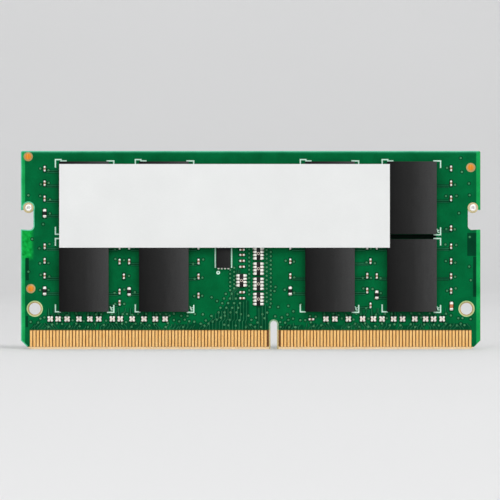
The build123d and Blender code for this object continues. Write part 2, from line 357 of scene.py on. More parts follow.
def draw_line(bm, points, wide, rise, side=-1):
    """A raised line with sloping shoulders along flat points."""
    foot = wide / 2 + rise
    section = ((foot, SUNK), (wide / 2, rise), (-wide / 2, rise), (-foot, SUNK))
    rings = []
    for i, (x, z) in enumerate(points):
        ways = []
        if i:
            ways.append(Vector((x - points[i - 1][0], z - points[i - 1][1])).normalized())
        if i < len(points) - 1:
            ways.append(Vector((points[i + 1][0] - x, points[i + 1][1] - z)).normalized())
        normals = [Vector((-way.y, way.x)) for way in ways]
        mitre = sum(normals, Vector((0, 0))).normalized()
        mitre /= max(0.5, mitre.dot(normals[0]))
        rings.append([
            face_of(side) @ Vector((x + mitre.x * reach, z + mitre.y * reach, lift))
            for reach, lift in section
        ])
    skin(bm, rings)


def draw_round(bm, x, z, profile, side=-1, steps=12, wraps=False):
    """A round thing from its (radius, height) profile: a disc, or a ring if the profile wraps."""
    rings = []
    for radius, lift in profile:
        ring = []
        for k in range(steps):
            turn = 2 * pi * k / steps
            ring.append(face_of(side) @ Vector((x + radius * cos(turn), z + radius * sin(turn), lift)))
        rings.append(ring)
    skin(bm, rings, wraps)


def draw_patch(bm, outline, rise, side=-1):
    """A flat raised area inside an outline."""
    skin(bm, [[face_of(side) @ Vector((x, z, lift)) for x, z in outline] for lift in (SUNK, rise)])


def draw_pane(bm, low_x, low_z, high_x, high_z, rise, side=-1):
    """A flat raised rectangle."""
    outline = [(low_x, low_z), (high_x, low_z), (high_x, high_z), (low_x, high_z)]
    draw_patch(bm, outline, rise, side)


def board_edge(node_name, side, inset):
    """The board's outline on one face, over the top from one lower corner to the other, set in a little."""
    bm = bmesh.new()
    bm.from_mesh(frame["nodes"][node_name].data)
    bmesh.ops.remove_doubles(bm, verts=bm.verts, dist=1e-6)
    outer_face = FACE_AT * side
    flat = {f for f in bm.faces if all(abs(v.co.y * 1000 - outer_face) < NEAR for v in f.verts)}
    links = {}
    for edge in {e for f in flat for e in f.edges if sum(g in flat for g in e.link_faces) == 1}:
        for vert in edge.verts:
            links.setdefault(vert, []).append(edge.other_vert(vert))
    # walk the outline from its top left corner
    walk = [min(links, key=lambda v: v.co.x - v.co.z)]
    seen = {walk[0]}
    while following := [v for v in links[walk[-1]] if v not in seen]:
        walk.append(following[0])
        seen.add(following[0])
    loop = [(v.co.x * 1000, v.co.z * 1000) for v in walk]
    bm.free()
    if sum(a[0] * b[1] - b[0] * a[1] for a, b in zip(loop, loop[1:] + loop[:1])) < 0:
        loop = loop[::-1]
    gaps_before = [hypot(x - loop[i - 1][0], z - loop[i - 1][1]) for i, (x, z) in enumerate(loop)]
    loop = [at for at, gap in zip(loop, gaps_before) if gap > 0.02]
    # leave out the contact row, whose edge isn't the board's
    outer = [not (abs(x) < HALF_WIDTH - 1.1 and z < 5) for x, z in loop]
    start = next(i for i in range(len(loop)) if outer[i] and not outer[i - 1])
    loop = [at for at, kept in zip(loop[start:] + loop[:start], outer[start:] + outer[:start]) if kept]
    moved = []
    for i, (x, z) in enumerate(loop):
        before = loop[max(i - 1, 0)]
        after = loop[min(i + 1, len(loop) - 1)]
        way = Vector((after[0] - before[0], after[1] - before[1])).normalized()
        moved.append((x - way.y * inset, z + way.x * inset))
    return moved


# painted highlight: the bright line drawn round the board's edge on each face
for side, face_name in ((-1, "front"), (1, "back")):
    rim = bmesh.new()
    edge = board_edge(f"solder_mask_{face_name}", side, RIM_INSET)
    if side < 0:
        # on the front the right-hand end has none, so it starts from the top right corner
        edge = edge[max(i for i, at in enumerate(edge) if at[0] > HALF_WIDTH - MARGIN_SIDE):]
    draw_line(rim, edge, RIM_WIDTH, FILM_RISE, side)
    add_piece(f"painted_edge_highlight_{face_name}", rim, painted_edge_highlight, "solder_mask")

# ---------------------------------------------------------------- copper lines and vias
# Etched copper under the lacquer: lines that fan out from the contacts to the resistors and chips,
# and plated holes that carry them from face to face. Each line stands between two darker etched gaps.

LINE = 0.09
GAP = 0.1
VIA = 0.18
VIA_GAP = 0.13  # the etched ring round a via
PLATED = 0.011  # how far a via's lid stands off the mask
EDGE_ROOM = 0.8  # lines and vias keep this far from the board's ends
TOP_ROOM = 0.6
NOTCH_ROOM = 0.4
BELOW_NOTCH = 2.0  # from the notch mount down to its lower side, with room
ABOVE_NOTCH = 2.9  # and up past the eyelet's lug
KEY_ROOM = 0.76
OVER_KEY = 0.45
PAD_ROOM = 0.11
JOINT_ROOM = 0.3

chips = [box_of(f"memory_chip_{n}_substrate") for n in range(1, 9)]
contacts = boxes_in("contacts_front")
LINE_FOOT = contacts[0][0].z + contacts[0][1].z / 2 + 0.12  # just above the mask's lower edge
HOLE_X, HOLE_Z = mount_at("tooling_hole_right")
NOTCH_X, NOTCH_Z = mount_at("latch_notch_right")
eyelet_low, eyelet_high = box_of("latch_eyelet_right")
EYELET_X = (eyelet_low.x + eyelet_high.x) / 2
EYELET_Z = (eyelet_low.z + eyelet_high.z) / 2
capacitors = boxes_in("capacitor_bodies") + boxes_in("large_resistor_bodies")
family_names = ("capacitor", "resistor", "large_resistor", "bulk_capacitor")
family_names += ("address_array", "data_pair")
pads = [pad for family in family_names for pad in boxes_in(f"{family}_terminals")]
occupied = pads + [body for family in family_names for body in boxes_in(f"{family}_bodies")]
occupied += boxes_in("spd_chip_body")
round_spots = [(at.x, at.z, 0.9) for at, size in boxes_in("fiducial_dots")]
round_spots += [(side * HOLE_X, HOLE_Z, 1.35) for side in (-1, 1)]
round_spots += [(side * EYELET_X, EYELET_Z, 0.95) for side in (-1, 1)]


def is_clear(x, z, room, of_parts=True):
    """Whether a spot is on the masked board, clear of slots, holes and dots, and of parts if asked."""
    if abs(x) > HALF_WIDTH - EDGE_ROOM - room:
        return False
    if not LINE_FOOT - 0.01 < z < BOARD_TOP - TOP_ROOM - room:
        return False
    beside_notch = NOTCH_Z - BELOW_NOTCH - room < z < NOTCH_Z + ABOVE_NOTCH + room
    if abs(x) > NOTCH_X - NOTCH_ROOM - room and beside_notch:
        return False
    if abs(x - KEY_X) < KEY_ROOM + room and z < KEY_TOP + OVER_KEY + room:
        return False
    if any(hypot(x - a, z - b) < r + room for a, b, r in round_spots):
        return False
    return not of_parts or all(
        abs(x - at.x) > size.x / 2 + room + 0.06 or abs(z - at.z) > size.z / 2 + room + 0.06
        for at, size in occupied
    )


def runs_clear(points, room=0.1):
    """Whether a whole line keeps clear of slots, holes and dots."""
    for (x, z), (far_x, far_z) in zip(points, points[1:]):
        steps = max(1, round(hypot(far_x - x, far_z - z) / 0.2))
        for k in range(steps + 1):
            if not is_clear(x + (far_x - x) * k / steps, z + (far_z - z) * k / steps, room, False):
                return False
    return True


def fan(x, lean, start, top):
    """A line that rises from a contact, leans over at 45 degrees and rises again."""
    end = start + abs(lean)
    return [(x, LINE_FOOT), (x, start), (x + lean, end), (x + lean, max(top, end + 0.1))]


dice = random.Random(7)
vias = []


def add_via(x, z, room=0.18, apart=0.5):
    """A via, if its place is clear and no other is too near."""
    if is_clear(x, z, room) and all(hypot(x - a, z - b) > apart for a, b in vias):
        vias.append((x, z))


# rows running down the board: two right of the arrays, one between the columns, two left of the lone array
# each says its place across, its top, the step down, how many vias, and the room each needs
via_rows = (
    (2.42, 15.0, 0.65, 13, 0.18),
    (3.04, 14.7, 0.65, 13, 0.18),
    (-0.22, 15.1, 0.62, 12, 0.12),
    (-2.5, 12.3, 0.62, 6, 0.1),
    (-3.1, 12.0, 0.62, 6, 0.1),
)
for x, top, step, count, room in via_rows:
    for i in range(count):
        add_via(x, top - step * i, room)
# a leaning grid over the fan of address lines, and a bow of them beside the key slot
for row in range(5):
    for column in range(4):
        add_via(-4.85 + 0.9 * column + 0.27 * row, 5.55 + 0.7 * row, 0.12)
for i in range(7):
    add_via(-7.0 + 0.62 * i, 3.55 + 0.3 * i, 0.12)
    add_via(3.75 - 0.14 * i, 9.4 - 0.62 * i)
    add_via(3.3 - 0.2 * i, 7.2 - 0.42 * i)
# one or two beside most capacitors
for at, size in capacitors:
    for way in (-1, 1):
        if dice.random() < 0.85:
            add_via(at.x + way * dice.uniform(0.55, 0.85), at.z + dice.uniform(-0.4, 0.4))
# scattered: along the contacts, down both ends and round the key slot
for i in range(420):
    add_via(dice.uniform(-33.4, 33.4), dice.uniform(3.3, 5.4), 0.16, 0.6)
for i in range(70):
    add_via(dice.choice((-1, 1)) * dice.uniform(31.4, 33.8), dice.uniform(6.5, 29.0), 0.2, 1.7)
for i in range(40):
    add_via(dice.uniform(-7.5, 8.0), dice.uniform(3.4, 8.0), 0.16, 0.8)

FAN_LEFT = -6.7
FAN_RIGHT = -0.3
PITCH = 0.5
LEANS = (0.25, 0.4, -0.4, 0.55, -0.5, 0.3)

lines_front = []
for i, (at, size) in enumerate(contacts):
    if FAN_LEFT < at.x < FAN_RIGHT:
        # the address lines, which run higher the nearer they are to the arrays
        k = (at.x - FAN_LEFT) / PITCH
        lines_front.append(fan(at.x, 0.5 - 0.03 * k, 4.1 + 0.08 * (i % 3), 5.0 + 0.2 * k))
    elif 0.9 < at.x < 2.7:
        # straight up to the foot of the arrays
        lines_front.append([(at.x, LINE_FOOT), (at.x, 6.3 + 0.2 * (i % 3))])
    elif dice.random() < 0.85:
        lean = LEANS[((i // 5) * 7 + 3) % len(LEANS)]
        start = LINE_FOOT + 0.1 + 0.1 * ((i * 3) % 4)
        lines_front.append(fan(at.x, lean, start, 3.5 + 0.14 * ((i * 5) % 4)))
for x in sorted({round(at.x, 2) for at, size in boxes_in("data_pair_bodies")}):
    # two lines from each data pair towards the chips
    for way in (-1, 1):
        reach = dice.choice((0.0, 0.3, 0.5)) * way
        near = x + PITCH / 2 * way
        far = near + reach
        lines_front.append([(near, 5.03), (near, 5.2), (far, 5.2 + abs(reach)), (far, 6.2)])
for at, size in capacitors:
    # a pair of lines from each capacitor to the nearest chip
    beside = [(low, high) for low, high in chips if low.z < at.z < high.z]
    gap, chip_side = min((abs(at.x - x), x) for low, high in beside for x in (low.x, high.x))
    if gap < 3.0 and dice.random() < 0.8:
        way = 1 if at.x > chip_side else -1
        for drop in (0.3, 0.56):
            lines_front.append([(chip_side - way * 0.2, at.z - drop), (at.x - way * 0.28, at.z - drop)])
for k in range(3):
    # three that step round the lone array
    upper = -2.1 + 0.24 * k
    lower = -3.0 + 0.24 * k
    lines_front.append([(upper, 12.0), (upper, 9.4), (lower, 8.5), (lower, 7.4)])

lines_back = []
for i, (at, size) in enumerate(boxes_in("contacts_back")):
    lean = (0.5, -0.5, 0.0, 1.0, -0.9)[((i // 6) * 3) % 5]
    lines_back.append(fan(at.x, lean, LINE_FOOT + 0.1 + 0.14 * (i % 6), 4.6 + 0.55 * ((i * 7) % 9)))
BUNDLE = 7  # lines in a bundle, side by side
SIDE_BY_SIDE = 0.26
bundles = []
for bundle in range(7):
    left = -30.5 + 8.6 * bundle
    climb = 4.4 if bundle % 2 else 3.0
    for k in range(BUNDLE):
        low = 10.0 + 2.3 * (bundle % 3) + SIDE_BY_SIDE * k
        high = low + climb
        bend = left + 2.2 + SIDE_BY_SIDE * (BUNDLE - 1 - k)
        bundles.append([(left, low), (bend, low), (bend + climb, high), (left + 5.4 + climb, high)])
bundles = [points for points in bundles if runs_clear(points)]
lines_back = [points for points in lines_back if runs_clear(points)] + bundles
lines_front = [points for points in lines_front if runs_clear(points)]

# the ground that is etched away under the address lines, from the contacts up to the resistors
fan_ground = [(FAN_LEFT - 0.2, LINE_FOOT), (FAN_RIGHT + 0.1, LINE_FOOT), (FAN_RIGHT + 0.1, 7.3)]
fan_ground += [(-2.3, 8.3), (-3.6, 7.0), (-5.3, 5.0)]
# etched strips inside the two ends of the board: low x, low z, high x, high z
end_strips = (
    (32.8, 14.1, 34.16, 17.6),
    (33.68, 7.9, 34.16, 14.0),
    (-34.1, 10.4, -33.6, 13.8),
    (-34.1, 3.3, -33.7, 5.0),
)

for side, face_name, drawn in ((-1, "front", lines_front), (1, "back", lines_back)):
    gaps = bmesh.new()
    copper = bmesh.new()
    lids = bmesh.new()
    for points in drawn:
        draw_line(gaps, points, LINE + 2 * GAP, FILM_RISE, side)
        draw_line(copper, points, LINE, 0.01, side)
    ends = [points[i] for points in bundles for i in (0, -1)] if side > 0 else []
    # a lid has a dimple where the lacquer sinks into the hole
    ring = [(VIA + VIA_GAP, SUNK), (VIA + VIA_GAP - 0.005, FILM_RISE)]
    lid = [(VIA, SUNK), (VIA - 0.02, PLATED), (0.1, PLATED), (0.07, 0.005)]
    for x, z in vias + ends:
        draw_round(gaps, x, z, ring, side)
        draw_round(lids, x, z, lid, side)
    if side < 0:
        ground = bmesh.new()
        draw_patch(ground, fan_ground, 0.001)
        draw_pane(ground, 0.85, LINE_FOOT, 2.66, 6.5, 0.001)
        for at, size in pads:
            # the etched frame of a pad leaves room for its joint along the part
            half_x = size.x / 2 + (JOINT_ROOM if size.x < size.z else PAD_ROOM)
            half_z = size.z / 2 + (PAD_ROOM if size.x < size.z else JOINT_ROOM)
            draw_pane(gaps, at.x - half_x, at.z - half_z, at.x + half_x, at.z + half_z, 0.002)
        for x in range(-33, 33):
            # most of the ground just above the contacts, but none beside the key slot
            if abs(x + 0.5 - KEY_X) > 1.5 and dice.random() < 0.7:
                draw_pane(ground, x, LINE_FOOT, x + 1, 3.6 + 0.4 * dice.random(), 0.0015)
        for strip in end_strips:
            draw_pane(gaps, *strip, 0.002)
        add_piece("etched_ground_front", ground, mask_ground, "solder_mask")
    add_piece(f"etched_gaps_{face_name}", gaps, mask_gap, "solder_mask")
    add_piece(f"copper_lines_{face_name}", copper, mask_copper, "solder_mask", smooth=30)
    add_piece(f"via_lids_{face_name}", lids, mask_via, "solder_mask", smooth=30)

# painted shade: the strip between the two rows of chips is painted near-black to stand for the shadow deep
# between their cases
shade = bmesh.new()
for (low, _), (_, high) in zip(chips[:4], chips[4:]):
    draw_pane(shade, low.x + 0.05, high.z + 0.03, high.x - 0.05, low.z - 0.03, 0.002)
add_piece("painted_shade_strip_between_rows", shade, painted_shade_mask, "solder_mask")

# ---------------------------------------------------------------- edge contacts
# Gold-plated copper pads, 0.35 mm wide every 0.5 mm, that slide against the socket's springs.
# A thin plating bar runs from each pad down over the bevel, where the card was cut from its panel.


def make_gold(name, warm, pale, rough=0.3):
    """Plated gold with the faint drawn streaks that handling leaves."""
    material, tree, shader = new_finish(name)
    drawn = grain(tree, 0.5, 3.0, stretch=(6, 1, 0.35))
    tree.links.new(ramp(tree, drawn, [(0.3, warm), (0.72, pale)]), shader.inputs["Base Color"])
    wear = add_node(
        tree, "ShaderNodeMapRange", {"Value": drawn, "To Min": rough - 0.06, "To Max": rough + 0.14}
    )
    tree.links.new(wear.outputs["Result"], shader.inputs["Roughness"])
    shader.inputs["Metallic"].default_value = 0.9
    emboss(tree, shader, drawn, 0.002)
    return material


contact_gold = make_gold("contact_gold", tone(250, 187, 106), tone(255, 214, 146))
PAD_CORNER = 0.05
BAR = 0.05  # half the width of a plating bar
BAR_FOOT = 0.12  # how high up the bevel it ends

for side, face_name in ((-1, "front"), (1, "back")):
    row = bmesh.new()
    for at, size in boxes_in(f"contacts_{face_name}"):
        rings = []
        for shrink, lift in ((0.0, -0.03), (0.0, -0.008), (0.012, 0.0)):
            half_x, half_z = size.x / 2 - shrink, size.z / 2 - shrink
            corners = []
            for way_x, way_z in ((-1, -1), (1, -1), (1, 1), (-1, 1)):
                cuts = [(half_x, half_z - PAD_CORNER), (half_x - PAD_CORNER, half_z)]
                # the two ends of each cut corner, kept in order round the pad
                for x, z in cuts if way_x == way_z else cuts[::-1]:
                    corners.append(face_of(side) @ Vector((at.x + way_x * x, at.z + way_z * z, lift)))
            rings.append(corners)
        skin(row, rings)
        low = at.z - size.z / 2
        bar = [(low + 0.01, -0.012), (low + 0.01, -0.05)]
        bar += [(BAR_FOOT, -0.185), (BAR_FOOT, -0.165), (low - 0.03, -0.03)]
        ends = []
        for reach in (-BAR, BAR):
            ends.append([face_of(side) @ Vector((at.x + reach, z, lift)) for z, lift in bar])
        skin(row, ends)
    add_piece(f"contacts_{face_name}_plated", row, contact_gold, "gold", f"contacts_{face_name}")

# ---------------------------------------------------------------- alignment dots and tooling holes
# Bare copper dots with a thin gold finish, in round windows of the mask. The assembly machine aims
# by them. Round each tooling hole the mask stops short too, and leaves a pale ring of card.

WINDOW = 0.695
HOLE = 0.9
CARD_RING = 1.06
FILM_RING = 1.22

dot_gold = make_gold("alignment_gold", tone(208, 122, 32), tone(236, 158, 66), 0.4)
window_resin = make_mask("resin_in_windows", tone(168, 138, 92), tone(206, 176, 124), gloss=0.45)
dots = bmesh.new()
windows = bmesh.new()
for at, size in boxes_in("fiducial_dots"):
    r = size.x / 2
    dome = [(r, -0.03), (r, -0.01), (r - 0.04, -0.002), (r * 0.6, 0.001)]
    draw_round(dots, at.x, at.z, dome, steps=32)
    ring = [(WINDOW, -0.03), (WINDOW - 0.005, -0.022), (r + 0.01, -0.022)]
    draw_round(windows, at.x, at.z, ring, steps=32)
add_piece("alignment_dots", dots, dot_gold, "gold", "fiducial_dots", smooth=40)
add_piece("alignment_windows", windows, window_resin, "laminate", smooth=40)

lug_resin = make_mask("lug_resin", tone(188, 172, 124), tone(226, 212, 170), gloss=0.45)
film_edge = make_mask("film_edge", tone(164, 196, 128), tone(216, 226, 172), gloss=0.4)
hole_rings = (("card", window_resin, HOLE, CARD_RING), ("film", film_edge, CARD_RING, FILM_RING))
for name, finish, inner, outer in hole_rings:
    rings = bmesh.new()
    section = [(inner, -0.03), (inner, -0.01), (inner + 0.03, 0.0)]
    section += [(outer - 0.03, 0.0), (outer, -0.01), (outer, -0.03)]
    for side in (-1, 1):
        for x in (-HOLE_X, HOLE_X):
            draw_round(rings, x, HOLE_Z, section, side, steps=40, wraps=True)
    add_piece(f"tooling_hole_{name}_rings", rings, finish, "laminate", smooth=40)

# ---------------------------------------------------------------- latch eyelets
# A plated hole in the lug above each latch notch. Solder fills it round a small bore and domes a little
# over both faces, and a collar of bare card lies round it.


def make_solder(name, dark, light, rough, metal=0.5):
    """Reflowed tin, or another bare metal with a fine crystal grain."""
    material, tree, shader = new_finish(name)
    crystals = grain(tree, 0.12, 3.0)
    tree.links.new(ramp(tree, crystals, [(0.3, dark), (0.7, light)]), shader.inputs["Base Color"])
    dull = add_node(
        tree, "ShaderNodeMapRange", {"Value": crystals, "To Min": rough - 0.08, "To Max": rough + 0.12}
    )
    tree.links.new(dull.outputs["Result"], shader.inputs["Roughness"])
    shader.inputs["Metallic"].default_value = metal
    emboss(tree, shader, crystals, 0.006)
    return material


solder = make_solder("solder", tone(236, 234, 226), tone(255, 254, 248), 0.34)
# radius and height from inside the bore over the dome to the barrel, then the same behind
eyelet_front = [(0.17, -0.1), (0.2, -0.02), (0.28, 0.025), (0.38, 0.03), (0.47, 0.0)]
eyelet_front += [(0.515, -0.029), (0.34, -0.029)]
eyelet_section = eyelet_front + [(radius, -2 * FACE_AT - lift) for radius, lift in eyelet_front[::-1]]
collar_section = [(0.53, -0.03), (0.54, 0.0), (0.74, 0.0), (0.79, -0.012), (0.795, -0.03)]
for side_name, x in (("left", -EYELET_X), ("right", EYELET_X)):
    node_name = f"latch_eyelet_{side_name}"
    eyelet = bmesh.new()
    draw_round(eyelet, x, EYELET_Z, eyelet_section, steps=32, wraps=True)
    add_piece(f"{node_name}_soldered", eyelet, solder, "solder", node_name, smooth=50)
    collar = bmesh.new()
    for side in (-1, 1):
        draw_round(collar, x, EYELET_Z, collar_section, side, steps=40, wraps=True)
    add_piece(f"eyelet_collar_{side_name}", collar, lug_resin, "laminate", smooth=40)

# ---------------------------------------------------------------- memory chips
# Each package is a silicon die on a thin laminate, overmoulded in black epoxy and soldered down on
# balls. The mould compound is matt and full of fine glass filler, which shows as a dense grain.

CASE_ROUND = 0.07


def make_mould_painted_light(shades):
    """Black epoxy with its filler's grain, and painted light that pales it towards the right of each
    package.
    """
    material, tree, shader = new_finish("mould_compound")
    on_case = add_node(tree, "ShaderNodeTexCoord").outputs["Generated"]
    across = add_node(tree, "ShaderNodeSeparateXYZ", {"Vector": on_case}).outputs
    filler = grain(tree, 0.09, 2.0)
    painted_light_wobble = grain(tree, 1.3, 3.0, stretch=(2.2, 1, 0.4))
    # painted light: the colour is swept paler across each case from left to right, as if lit from the right
    sweep = sums(tree, "MULTIPLY_ADD", painted_light_wobble, 0.14, sums(tree, "MULTIPLY", across["X"], 0.86))
    colour = ramp(tree, sweep, [(at, tone(v, v, v)) for at, v in zip((0.06, 0.5, 0.94), shades)])
    speck = ramp(tree, filler, [(0.38, (0.8, 0.8, 0.8, 1)), (0.7, (1.25, 1.25, 1.25, 1))])
    tree.links.new(blend(tree, 1.0, colour, speck, "MULTIPLY"), shader.inputs["Base Color"])
    shader.inputs["Roughness"].default_value = 0.6
    shader.inputs["Specular IOR Level"].default_value = 0.08
    emboss(tree, shader, filler, 0.006)
    return material


def rounded_block(low, high, radius, steps=3):
    """A block with all its edges rounded, in millimetres."""
    bm = bmesh.new()
    bmesh.ops.create_cube(bm, size=1.0)
    for vert in bm.verts:
        for axis in range(3):
            vert.co[axis] = high[axis] if vert.co[axis] > 0 else low[axis]
    bmesh.ops.bevel(bm, geom=bm.edges[:], offset=radius, segments=steps, profile=0.5, affect="EDGES")
    return bm


mould_black = make_mould_painted_light((18, 39, 67))
package_laminate = make_mask("package_laminate", tone(14, 30, 20), tone(34, 52, 32), gloss=0.4)
silicon = make_solder("silicon", tone(60, 62, 70), tone(96, 98, 108), 0.25, 0.8)
for number in range(1, 9):
    name = f"memory_chip_{number}"
    dress(f"{name}_solder_balls", solder)
    dress(f"{name}_substrate", package_laminate)
    dress(f"{name}_die", silicon)
    case = rounded_block(*box_of(f"{name}_mould"), CASE_ROUND)
    add_piece(f"{name}_case", case, mould_black, "chip_mould", f"{name}_mould", smooth=40)

# ---------------------------------------------------------------- identity chip
# A small eight-pad chip that tells the computer what the module is. It is moulded like the memory
# chips and soldered by four pads along each end, where its joints show as a row of bright beads.

SPD_PITCH = 0.5
BLOB_SQUARE = 0.72  # a blob's corners are squarer than a ball's, whose value would be 1


def draw_blob(bm, x, z, reach):
    """A solder blob on the front: the upper half of a rounded lump, flat where it wets its pad."""
    blob = bmesh.new()
    bmesh.ops.create_uvsphere(blob, u_segments=12, v_segments=8, radius=1.0)
    everything = blob.verts[:] + blob.edges[:] + blob.faces[:]
    bmesh.ops.bisect_plane(
        blob, geom=everything, plane_co=(0, 0, 0.001), plane_no=(0, 0, -1), clear_outer=True
    )
    bmesh.ops.holes_fill(blob, edges=[e for e in blob.edges if e.is_boundary])
    for vert in blob.verts:
        for axis in (0, 1):
            flat = abs(vert.co[axis])
            way = 1 if vert.co[axis] > 0 else -1
            vert.co[axis] = way * flat ** BLOB_SQUARE if flat > 1e-6 else 0.0
        vert.co = Vector([vert.co[axis] * reach[axis] for axis in range(3)])
    bmesh.ops.transform(blob, matrix=face_of(-1) @ Matrix.Translation((x, z, 0)), verts=blob.verts)
    stamp(bm, blob)


def stamp(bm, unit):
    """Moves one small mesh into a larger one."""
    mesh = bpy.data.meshes.new("unit")
    unit.to_mesh(mesh)
    unit.free()
    bm.from_mesh(mesh)
    bpy.data.meshes.remove(mesh)


spd_low, spd_high = box_of("spd_chip_body")
spd_x = (spd_low.x + spd_high.x) / 2
spd_black = make_mould_painted_light((30, 36, 42))
spd_case = rounded_block(spd_low, spd_high, 0.05)
add_piece("spd_chip_case", spd_case, spd_black, "chip_mould", "spd_chip_body", smooth=40)
spd_joints = bmesh.new()
for k in range(4):
    for z in (spd_low.z - 0.08, spd_high.z + 0.08):
        draw_blob(spd_joints, spd_x + (k - 1.5) * SPD_PITCH, z, (0.17, 0.16, 0.1))
add_piece("spd_chip_joints", spd_joints, solder, "solder", smooth=60)
dress("spd_chip_pads", solder)

# ---------------------------------------------------------------- chip resistors and capacitors
# Ceramic blocks with tinned ends, placed by machine and soldered in an oven. The joints are small
# bright blobs that climb each end. Capacitors are brown ceramic; resistors are glass over alumina.


def make_ceramic(name, dark, light, rough):
    """Fired ceramic with a fine mottle."""
    material, tree, shader = new_finish(name)
    body = grain(tree, 0.15, 3.0)
    tree.links.new(ramp(tree, body, [(0.3, dark), (0.75, light)]), shader.inputs["Base Color"])
    shader.inputs["Roughness"].default_value = rough
    shader.inputs["Specular IOR Level"].default_value = 0.25
    emboss(tree, shader, body, 0.005)
    return material


tin = make_solder("tinned_ends", tone(234, 230, 220), tone(255, 253, 246), 0.42)
brown_ceramic = make_ceramic("brown_ceramic", tone(128, 98, 72), tone(184, 150, 118), 0.5)
amber_ceramic = make_ceramic("amber_ceramic", tone(170, 98, 58), tone(216, 146, 100), 0.45)
black_glass = make_ceramic("black_glass", tone(4, 4, 5), tone(18, 17, 18), 0.3)
brown_glass = make_ceramic("brown_glass", tone(116, 88, 66), tone(178, 144, 114), 0.4)
rose_alumina = make_ceramic("rose_alumina", tone(214, 196, 182), tone(246, 236, 224), 0.5)
families = (
    ("capacitor", brown_ceramic, "capacitor_ceramic", 0.9),
    ("resistor", brown_glass, "resistor_body", 0.9),
    ("large_resistor", black_glass, "resistor_body", 0.85),
    ("bulk_capacitor", amber_ceramic, "capacitor_ceramic", 0.8),
    ("address_array", black_glass, "resistor_body", 0.9),
    ("data_pair", rose_alumina, "data_resistor_body", 0.95),
)
# how far a joint reaches past its end: in two families of its own, in the others by the part's size
JOINT_REACH = {"address_array": 0.33, "data_pair": 0.15}
SMALL_REACH = 0.17
LARGE_REACH = 0.22

joints = bmesh.new()
for family, ceramic, slot_name, climb in families:
    bodies = bmesh.new()
    centres = boxes_in(f"{family}_bodies")
    for at, size in centres:
        # resistors sit a hair lower than their ends
        lift = Vector((0, 0 if family == "capacitor" else 0.012, 0))
        stamp(bodies, rounded_block(at - size / 2 + lift, at + size / 2, 0.03, 2))
    add_piece(f"{family}_ceramics", bodies, ceramic, slot_name, f"{family}_bodies", smooth=40)
    ends = bmesh.new()
    for at, size in boxes_in(f"{family}_terminals"):
        body = min(centres, key=lambda item: (item[0] - at).length)[0]
        stamp(ends, rounded_block(at - size / 2, at + size / 2, 0.035, 2))
        along_x = family == "address_array"
        along_x = along_x or (family != "data_pair" and abs(at.x - body.x) > abs(at.z - body.z))
        wide, edge = (size.z / 2, size.x / 2) if along_x else (size.x / 2, size.z / 2)
        long = JOINT_REACH.get(family, SMALL_REACH if wide < 0.2 else LARGE_REACH)
        height = size.y * climb
        if along_x:
            away = edge - 0.02 if at.x > body.x else 0.02 - edge
            draw_blob(joints, at.x + away, at.z, (long, wide * 1.12, height))
        else:
            away = edge - 0.02 if at.z > body.z else 0.02 - edge
            draw_blob(joints, at.x, at.z + away, (wide * 1.12, long, height))
    add_piece(f"{family}_ends", ends, tin, "solder", f"{family}_terminals", smooth=40)
add_piece("solder_joints_wetted", joints, solder, "solder", "solder_joints", smooth=60)

# ---------------------------------------------------------------- label
# A blank self-adhesive paper label, pressed over the upper chips. It is held by the chips alone,
# so it sags by a hair where it bridges the gaps between them.

SAG = 0.05
PAPER = 0.085
PRESSED = 0.012  # the die that cuts it presses its rim down by this
COLUMNS = 126
ROWS = 33


def make_label():
    """Coated white paper with a trace of its fibres."""
    material, tree, shader = new_finish("label_paper")
    fibres = grain(tree, 0.25, 4.0, stretch=(1, 1, 1.6))
    mottle = grain(tree, 6.0, 2.0)
    colour = ramp(tree, mottle, [(0.3, tone(229, 230, 229)), (0.7, tone(233, 234, 233))])
    threads = ramp(tree, fibres, [(0.3, (0.98, 0.98, 0.98, 1)), (0.7, (1.0, 1.0, 1.0, 1))])
    tree.links.new(blend(tree, 1.0, colour, threads, "MULTIPLY"), shader.inputs["Base Color"])
    shader.inputs["Roughness"].default_value = 0.6
    shader.inputs["Specular IOR Level"].default_value = 0.2
    emboss(tree, shader, fibres, 0.004)
    return material


def sag_at(x, z):
    """How far the label hangs in towards the board at a spot."""
    outside = min(hypot(max(a.x - x, 0, x - b.x), max(a.z - z, 0, z - b.z)) for a, b in chips)
    return SAG * (1 - 1 / (1 + outside * outside))


low, high = box_of("label")
sheet = bmesh.new()
top = []
under = []
for grid, deep in ((top, 0.0), (under, PAPER)):
    for j in range(ROWS):
        line = []
        for i in range(COLUMNS):
            x = low.x + (high.x - low.x) * i / (COLUMNS - 1)
            z = low.z + (high.z - low.z) * j / (ROWS - 1)
            on_rim = i in (0, COLUMNS - 1) or j in (0, ROWS - 1)
            pressed = PRESSED if on_rim and deep == 0 else 0.0
            line.append(sheet.verts.new((x, low.y + 0.004 + pressed + sag_at(x, z) + deep, z)))
        grid.append(line)
    for j in range(ROWS - 1):
        for i in range(COLUMNS - 1):
            sheet.faces.new((grid[j][i], grid[j][i + 1], grid[j + 1][i + 1], grid[j + 1][i]))
border = [(0, i) for i in range(COLUMNS)] + [(j, COLUMNS - 1) for j in range(1, ROWS)]
border += [(ROWS - 1, i) for i in range(COLUMNS - 2, -1, -1)] + [(j, 0) for j in range(ROWS - 2, 0, -1)]
for (j, i), (n, m) in zip(border, border[1:] + border[:1]):
    sheet.faces.new((top[j][i], top[n][m], under[n][m], under[j][i]))
add_piece("blank_label", sheet, make_label(), "label", "label", smooth=35)

# ---------------------------------------------------------------- printed legend
# White ink screened on the mask: a bracket at each chip's corners, stepped at the first pin in the
# upper row, lines and a ring beside the identity chip, and a ring on each array. No lettering.

STROKE = 0.17
INK = 0.018
BRACKET_OUT = 0.67  # from a chip's sides
BRACKET_UP = 0.09  # from its ends
ARM = 1.05
LOWER_ARM = 1.12
CHEVRON = 0.11


